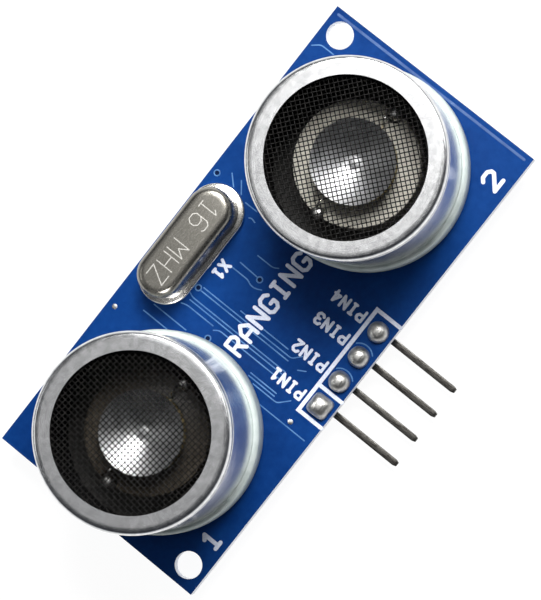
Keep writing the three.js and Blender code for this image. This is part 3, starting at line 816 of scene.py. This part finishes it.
def add_can(side):
    can = NodeBox(f"{side}_can")
    foot, top, flange = can.low.z, can.high.z, can.radius
    ledge = foot + FLANGE_HEIGHT
    crease = top - CREASE_DROP
    wall = flange - WALL_INSET
    rim = wall + 0.10
    opening = flange - OPENING_INSET
    inner = opening + 0.985
    profile = [
        (flange - 0.02, foot),
        (flange, foot + 0.05),
        *arc((flange - FLANGE_ROUNDING, ledge - FLANGE_ROUNDING), FLANGE_ROUNDING, 0, 80, 8),
        (wall + 0.09, ledge - 0.01),
        *reversed(arc((wall + 0.09, ledge + 0.08), 0.09, 180, 270, 4)),
        (wall, ledge + 0.3),
        (wall, crease - 0.15),
        (wall, crease),
        *arc((wall + 0.01, crease + 0.16), 0.09, -60, 60, 5),
        (wall - 0.05, crease + 0.34),
        (wall - 0.04, crease + 0.42),
        *arc((rim - 0.20, crease + 0.64), 0.20, -50, 0, 4),
        *arc((rim - RIM_ROUNDING, top - RIM_ROUNDING), RIM_ROUNDING, 0, 80, 10),
        (opening + 0.86, top - 0.004),
        (opening, top - 0.004),
        (opening, top - LIP + 0.05),
        (opening + 0.05, top - LIP),
        (inner, top - LIP - 0.01),
        (inner, foot + 2.0),
        (inner, foot),
    ]

    def finish_of(radius, z):
        if radius < opening + 0.02 or radius < inner + 0.01 and z < top - LIP + 0.02:
            return 1
        if z < ledge + 0.1:
            return 2
        return 3 if z < crease else 0

    bm = bmesh.new()
    lathe(bm, profile, can.mid, 192, finish_of)
    finishes = ["can_aluminium", "can_inside", "flange_aluminium", "wall_aluminium"]
    add_piece(f"{side}_can_skin", bm, "can_aluminium", [f"{side}_can"], finishes)


def weave_wire(bm, centre, z, ahead, across, offset, half_length, phase):
    """One wire of a plain weave, a six-sided tube that rises and falls over the others."""
    step = MESH_PITCH / 4
    count = int(half_length / step)
    sideways = across.to_3d()
    rings = []
    for i in range(-count, count + 1):
        s = i * step
        swing = math.pi * (s / MESH_PITCH - 0.5) + math.pi * phase
        slope = -MESH_WIRE * math.sin(swing) * math.pi / MESH_PITCH
        along = Vector((ahead.x, ahead.y, slope)).normalized()
        upward = Vector((-along.z * ahead.x, -along.z * ahead.y, math.hypot(along.x, along.y)))
        middle = Vector((*(centre + ahead * s + across * offset), z + MESH_WIRE * math.cos(swing)))
        rings.append(circle(middle, sideways, upward, MESH_WIRE, 6))
    loft(bm, rings)


def add_grille(side):
    grille = NodeBox(f"{side}_grille")
    centre, z = grille.mid.xy, grille.mid.z
    ahead, across = Matrix.Rotation(math.radians(MESH_TURN[side]), 2).col
    reach = int(grille.radius / MESH_PITCH)
    bm = bmesh.new()
    for i in range(-reach, reach):
        offset = (i + 0.5) * MESH_PITCH
        half_length = math.sqrt(grille.radius ** 2 - offset ** 2)
        weave_wire(bm, centre, z, ahead, across, offset, half_length, i)
        weave_wire(bm, centre, z, across, -ahead, offset, half_length, -i)
    add_piece(f"{side}_woven_grille", bm, "grille_mesh", [f"{side}_grille"], ["grille_wire"], 80)


def add_cone(side):
    """A thin flared dish with a small dimple in its middle."""
    cone = NodeBox(f"{side}_cone")
    foot = cone.low.z
    hub = 0.55
    sheet = 0.10
    outside = []
    for share in shares(18):
        rise = (cone.size.z - sheet) * share ** 1.35
        outside.append((hub + (cone.radius - hub) * share, foot + rise))
    inside = [(radius, z + sheet) for radius, z in outside]
    dimple = [(hub - 0.12, foot + sheet + 0.01), (hub - 0.2, foot + sheet + 0.10),
              (0, foot + sheet + 0.13)]
    bm = bmesh.new()
    lathe(bm, [(0, foot), *outside, *reversed(inside), *dimple], cone.mid, 96)
    add_piece(f"{side}_cone_dish", bm, "cone_aluminium", [f"{side}_cone"])


def add_holder(side):
    """The drum under the cone, notched on its outer side, with an eased upper edge."""
    drum_box = NodeBox(f"{side}_holder")
    low, high = drum_box.low.z, drum_box.high.z
    centre = NodeBox(f"{side}_base").mid
    outward = math.copysign(1, centre.x - BOARD.mid.x)
    pin = NodeBox(f"{side}_pin_{'b' if outward > 0 else 'a'}").mid
    notch_at = abs(pin.x - centre.x)
    rings = []
    for inset, z in ((0, low), (0, high - 0.15), (0.05, high - 0.05), (0.16, high)):
        drum, notch = drum_box.size.y / 2 - inset, 0.75 + inset
        meet_x = (drum ** 2 - notch ** 2 + notch_at ** 2) / (2 * notch_at)
        meet_y = math.sqrt(drum ** 2 - meet_x ** 2)
        drum_angle = math.degrees(math.atan2(meet_y, meet_x))
        notch_angle = math.degrees(math.atan2(meet_y, meet_x - notch_at))
        outline = arc((0, 0), drum, drum_angle, 360 - drum_angle, 90)
        outline += arc((notch_at, 0), notch, 360 - notch_angle, notch_angle, 14)[1:-1]
        rings.append([(centre.x + outward * x, centre.y + y, z) for x, y in outline])
    bm = bmesh.new()
    loft(bm, rings)
    cream = side == "receiver"
    add_piece(f"{side}_drum", bm, "cream_plastic" if cream else "black_plastic",
              [f"{side}_holder"], ["cream_holder" if cream else "dark_holder"])


def tube(bm, points, radius):
    """A round wire along 3-D points that never run straight up."""
    rings = []
    for i, point in enumerate(points):
        along = (points[min(i + 1, len(points) - 1)] - points[max(i - 1, 0)]).normalized()
        sideways = along.cross(Vector((0, 0, 1))).normalized()
        rings.append(circle(point, sideways, sideways.cross(along), radius, 10))
    loft(bm, rings)


def add_piezo_wires(side):
    """The fine wires from the piezo plate to the pins, each ending in a bead of solder."""
    for letter in "ab":
        wire = NodeBox(f"{side}_wire_{letter}")
        pin = NodeBox(f"{side}_pin_{letter}")
        outward = 1 if pin.mid.x > NodeBox(f"{side}_can").mid.x else -1
        inner_x = wire.low.x if outward > 0 else wire.high.x
        start = Vector((inner_x, wire.mid.y, wire.low.z + 0.14))
        end = Vector((pin.mid.x - outward * 0.12, pin.mid.y, pin.high.z + 0.12))
        points = []
        for t in shares(12):
            arch = math.sin(math.pi * t)
            points.append(start.lerp(end, t) + Vector((0, 0.35 * arch, 0.42 * arch)))
        bm = bmesh.new()
        tube(bm, points, 0.09)
        add_piece(f"{side}_lead_{letter}", bm, "lead_wire", [f"{side}_wire_{letter}"])
        bm = bmesh.new()
        foot = (pin.mid.x, pin.mid.y, pin.high.z - 0.15)
        blob(bm, foot, 0.60, 0.50, seed=pin.mid.x, wobble=0.2)
        add_piece(f"{side}_bead_{letter}", bm, "solder", finishes=["lead_wire"])


def add_back_joint(name, node, pin_node):
    """A cone of solder on the board's back, drawn up round a cut-off lead."""
    joint = NodeBox(node)
    x, y, _ = joint.mid
    radius, height, foot = joint.radius, joint.size.z, joint.high.z
    lead = NodeBox(pin_node).radius

    def wobble(c, s, reach, z):
        return 0.05 * reach * fractal.noise(Vector((c + x, s + y, z)))

    profile = [(0, foot), (radius * 0.98, foot), (radius * 0.95, foot - 0.05)]
    for share in shares(8)[1:]:
        profile.append((lead + (radius * 0.9 - lead) * (1 - share) ** 1.9, foot - height * share))
    profile.append((0, foot - height))
    bm = bmesh.new()
    lathe(bm, profile, joint.mid, 32, wobble=wobble)
    add_piece(name, bm, "solder", [node])


def add_transducer(side):
    add_can(side)
    add_grille(side)
    add_holder(side)
    add_cone(side)
    add_piezo_wires(side)
    paint(f"{side}_base", "black_plastic")
    add_turned_piece(f"{side}_damping_ring", "silicone", inner=2.2)
    add_turned_piece(f"{side}_piezo_plate", "brass_plate")
    add_turned_piece(f"{side}_piezo_ceramic", "piezo_ceramic")
    for letter in "ab":
        add_turned_piece(f"{side}_pin_{letter}", "tinned_metal")
        add_back_joint(f"{side}_joint_{letter}", f"{side}_solder_{letter}", f"{side}_pin_{letter}")


# ---- crystal

def slot_ring(box, inset, z):
    """A slot outline with round ends, long along X, that lies inset from a node's sides."""
    length, width = box.size.x - 2 * inset, box.size.y - 2 * inset
    reach = (length - width) / 2
    right = arc((box.mid.x + reach, box.mid.y), width / 2, -90, 90, 20)
    left = arc((box.mid.x - reach, box.mid.y), width / 2, 90, 270, 20)
    return [(x, y, z) for x, y in right + left]


def add_slot_piece(name, node, profile, finish):
    """A slot-shaped piece of the crystal from (inset, z) points that go up its side."""
    box = NodeBox(node)
    bm = bmesh.new()
    loft(bm, [slot_ring(box, inset, z) for inset, z in profile])
    add_piece(name, bm, "crystal_metal", [node], [finish], 60)


def add_crystal():
    shoulder = 0.62
    can = NodeBox("crystal_can")
    top = can.high.z
    profile = [(0, can.low.z), (0, can.mid.z),
               *arc((shoulder, top - shoulder), shoulder, 180, 100, 8), (shoulder + 0.15, top)]
    add_slot_piece("crystal_skin", "crystal_can", profile, "crystal_metal")
    round_off = 0.16
    base = NodeBox("crystal_base")
    profile = [(0.05, base.low.z),
               *arc((round_off, base.low.z + round_off), round_off, 250, 180, 4),
               *arc((round_off, base.high.z - round_off), round_off, 180, 95, 4)]
    add_slot_piece("crystal_rim", "crystal_base", profile, "crystal_flange")
    bm = bmesh.new()
    write(bm, "16 MHZ", can.mid.xy, (0.95, 1.6), 1.35, 0.075, 180, top, 0.004)
    add_piece("crystal_engraving", bm, "crystal_metal", finishes=["engraving"])
    paint("crystal_quartz", "quartz")
    for letter in "ab":
        add_turned_piece(f"crystal_lead_{letter}", "tinned_metal")
        add_back_joint(f"crystal_joint_{letter}", f"crystal_solder_{letter}", f"crystal_lead_{letter}")


# ---- header

def add_header():
    """The strip, the pins and their joints, of which the first is square."""
    add_eased_copy("header_strip", ["black_plastic"], 0.06)
    for i in range(1, 5):
        joint = NodeBox(f"header_solder_{i}")
        foot = (joint.mid.x, joint.mid.y, joint.low.z)
        grow, squareness = (1.06, 5.0) if i == 1 else (1.0, 2.2)
        bm = bmesh.new()
        blob(bm, foot, joint.radius * grow, joint.size.z, i * 3.1, 40, squareness)
        add_piece(f"header_joint_{i}", bm, "solder", [f"header_solder_{i}"])
        add_eased_copy(f"header_pin_{i}", ["pin_metal", "solder"], 0.05)


# ---- the board's back

CHIPS = ["driver_chip", "controller_chip", "amplifier_chip"]
RESISTORS = [f"resistor_{i}" for i in range(1, 8)]
CAPACITORS = [f"capacitor_{i}" for i in range(1, 5)]
LEG_PITCH = 1.27
LEG_WIDTH = 0.4
LEG_THICKNESS = 0.2
LEG_REACH = 1.05
LEG_SHOULDER = 0.7
STANDOFF = 0.12
PAD_HEIGHT = 0.03


def back_frame(node, turned):
    """Gives a function that maps a part's own (along, across, out) to the frame."""
    centre = NodeBox(node).mid

    def place(along, across, height):
        x, y = (across, along) if turned else (along, across)
        return Vector((centre.x + x, centre.y + y, BACK_Z - height))

    return place


def package_outline(length, width, notch):
    """A rounded oblong, with a half-moon notch of the given radius in its +X end."""
    corner = 0.08
    x, y = length / 2 - corner, width / 2 - corner
    points = []
    for start, centre in ((0, (x, y)), (90, (-x, y)), (180, (-x, -y)), (270, (x, -y))):
        points += arc(centre, corner, start, start + 90, 3)
    if notch:
        points += arc((length / 2, 0), notch, 270, 90, 8)
    return points


def thick_outline(path, thickness):
    """The outline of a bent strip seen edge on, from its centreline."""
    left, right = [], []
    for i, point in enumerate(path):
        along = (path[min(i + 1, len(path) - 1)] - path[max(i - 1, 0)]).normalized()
        side = Vector((-along.y, along.x)) * thickness / 2
        left.append(point + side)
        right.append(point - side)
    return left + right[::-1]


def add_leg(bm, place, at, edge, direction):
    """A gull-wing leg that leaves the side at edge, at a place along the package."""
    ease = 0.03
    foot = LEG_THICKNESS / 2
    half = LEG_WIDTH / 2
    turns = [(edge - 0.15, LEG_SHOULDER), (edge + 0.38, LEG_SHOULDER), (edge + 0.58, foot),
             (edge + LEG_REACH, foot)]
    path = rounded_path([Vector(turn) for turn in turns], 0.16)
    rings = []
    for along, thinner in ((-half, 2 * ease), (ease - half, 0), (half - ease, 0), (half, 2 * ease)):
        outline = thick_outline(path, LEG_THICKNESS - thinner)
        rings.append([place(at + along, direction * across, height) for across, height in outline])
    loft(bm, rings)


def add_pad(bm, place, at, edge, direction, half_width, reach):
    """A tinned pad on the board with a fillet of solder drawn up at its outer end."""
    bevelled_box(bm, place(at - half_width, direction * (edge - 0.35), -SINK),
                 place(at + half_width, direction * (edge + reach), PAD_HEIGHT), 0.012)
    toe = place(at, direction * edge, -SINK)
    blob(bm, toe, half_width * 0.95, -0.22, toe.x + toe.y, 16, 3.0)


def add_package(node, length, width, top, turned, notch, legs):
    """A moulded package and its legs: legs are (place along, side) pairs."""
    place = back_frame(node, turned)
    bm = bmesh.new()
    rings = []
    for height, inset, cut in ((STANDOFF, 0.12, 0.1), (LEG_SHOULDER - 0.08, 0, 0.1),
                               (LEG_SHOULDER + 0.08, 0, 0.1), (LEG_SHOULDER + 0.1, 0.015, 1),
                               (top - 0.05, 0.11, 1), (top, 0.16, 1)):
        outline = package_outline(length - 2 * inset, width - 2 * inset, notch * cut)
        rings.append([place(x, y, height) for x, y in outline])
    loft(bm, rings)
    if notch:
        x, y, z = place(length / 2 - 1.1, 0.9 - width / 2, top)
        dot = [(0, z + SINK), (0.36, z + SINK), (0.34, z - 0.006), (0.26, z - 0.002), (0, z - 0.002)]
        lathe(bm, dot, (x, y), 28, lambda radius, at: 1)
    add_piece(f"{node}_body", bm, "chip_resin", [node], ["chip_resin", "resistor_glaze"])
    bm = bmesh.new()
    pads = bmesh.new()
    for at, direction in legs:
        add_leg(bm, place, at, width / 2, direction)
        add_pad(pads, place, at, width / 2 + LEG_REACH - 0.05, direction, 0.29, 0.35)
    add_piece(f"{node}_legs", bm, "tinned_metal")
    add_piece(f"{node}_pads", pads, "solder")


def add_chip(node):
    size = NodeBox(node).size
    reach, length = sorted(size.xy)
    per_side = round(length / LEG_PITCH)
    legs = []
    for i in range(per_side):
        at = (i - (per_side - 1) / 2) * LEG_PITCH
        legs += [(at, -1), (at, 1)]
    add_package(node, length, reach - 2 * LEG_REACH, size.z, size.y > size.x, 0.45, legs)


def add_transistor():
    size = NodeBox("transistor").size
    legs = [(0, -1), (-0.95, 1), (0.95, 1)]
    add_package("transistor", size.x, size.y - 2 * LEG_REACH, size.z, False, 0, legs)


def add_chip_part(node, slot, finish, glazed):
    """A small two-ended part: its body, its metal ends and its soldered pads."""
    box = NodeBox(node)
    long_in_y = box.size.y > box.size.x
    half_width, half_length = sorted(box.size.xy / 2)
    foot, top = BACK_Z - box.high.z, BACK_Z - box.low.z
    place, crosswise = back_frame(node, long_in_y), back_frame(node, not long_in_y)
    end_length = 0.3
    reach, side = half_length - end_length + 0.04, half_width - 0.02
    bm = bmesh.new()
    bevelled_box(bm, place(-reach, -side, foot + 0.03), place(reach, side, top - 0.04), 0.03)
    if glazed:
        side -= 0.04
        bevelled_box(bm, place(-reach, -side, top - 0.06), place(reach, side, top - 0.01), 0.02, 1)
    add_piece(f"{node}_body", bm, slot, [node], [finish, "resistor_glaze"])
    bm = bmesh.new()
    pads = bmesh.new()
    for direction in (-1, 1):
        bevelled_box(bm, place(direction * half_length, -half_width, foot),
                     place(direction * (half_length - end_length), half_width, top), 0.05)
        add_pad(pads, crosswise, 0, half_length + 0.02, direction, half_width, 0.32)
    add_piece(f"{node}_ends", bm, "tinned_metal")
    add_piece(f"{node}_pads", pads, "solder")


def add_back_marks():
    """Plain printed outlines round the parts on the back."""
    bm = bmesh.new()
    for i, node in enumerate(CHIPS + RESISTORS + CAPACITORS):
        margin = 0.75 if node in CHIPS else 0.55
        box = NodeBox(node)
        x, y = box.size.x / 2 + margin, box.size.y / 2 + margin
        corners = [box.mid.xy + Vector(corner) for corner in ((-x, -y), (x, -y), (x, y), (-x, y))]
        low_z = BACK_Z - INK_HEIGHT - i % 3 * STROKE_STEP
        ribbon(bm, rounded_path(corners, 0.2, True), 0.16, low_z, BACK_Z + SINK, True)
    add_piece("back_outlines", bm, "silkscreen_ink")


def add_back_parts():
    for node in CHIPS:
        add_chip(node)
    add_transistor()
    for node in RESISTORS:
        add_chip_part(node, "resistor_body", "alumina", True)
    for node in CAPACITORS:
        add_chip_part(node, "capacitor_body", "capacitor_body", False)
    add_back_marks()


# ---- finish it all

def add_floor():
    bm = bmesh.new()
    bmesh.ops.create_grid(bm, x_segments=9, y_segments=9, size=FLOOR_HALF)
    bmesh.ops.translate(bm, vec=(0, 0, -FLOOR_DROP), verts=bm.verts)
    floor = new_object("floor", finished_mesh("floor", bm, ["pale_floor"]))


make_finishes()
add_camera()
add_lights()
add_floor()
add_board()
for side_name in SIDES:
    add_transducer(side_name)
add_crystal()
add_header()
add_back_parts()
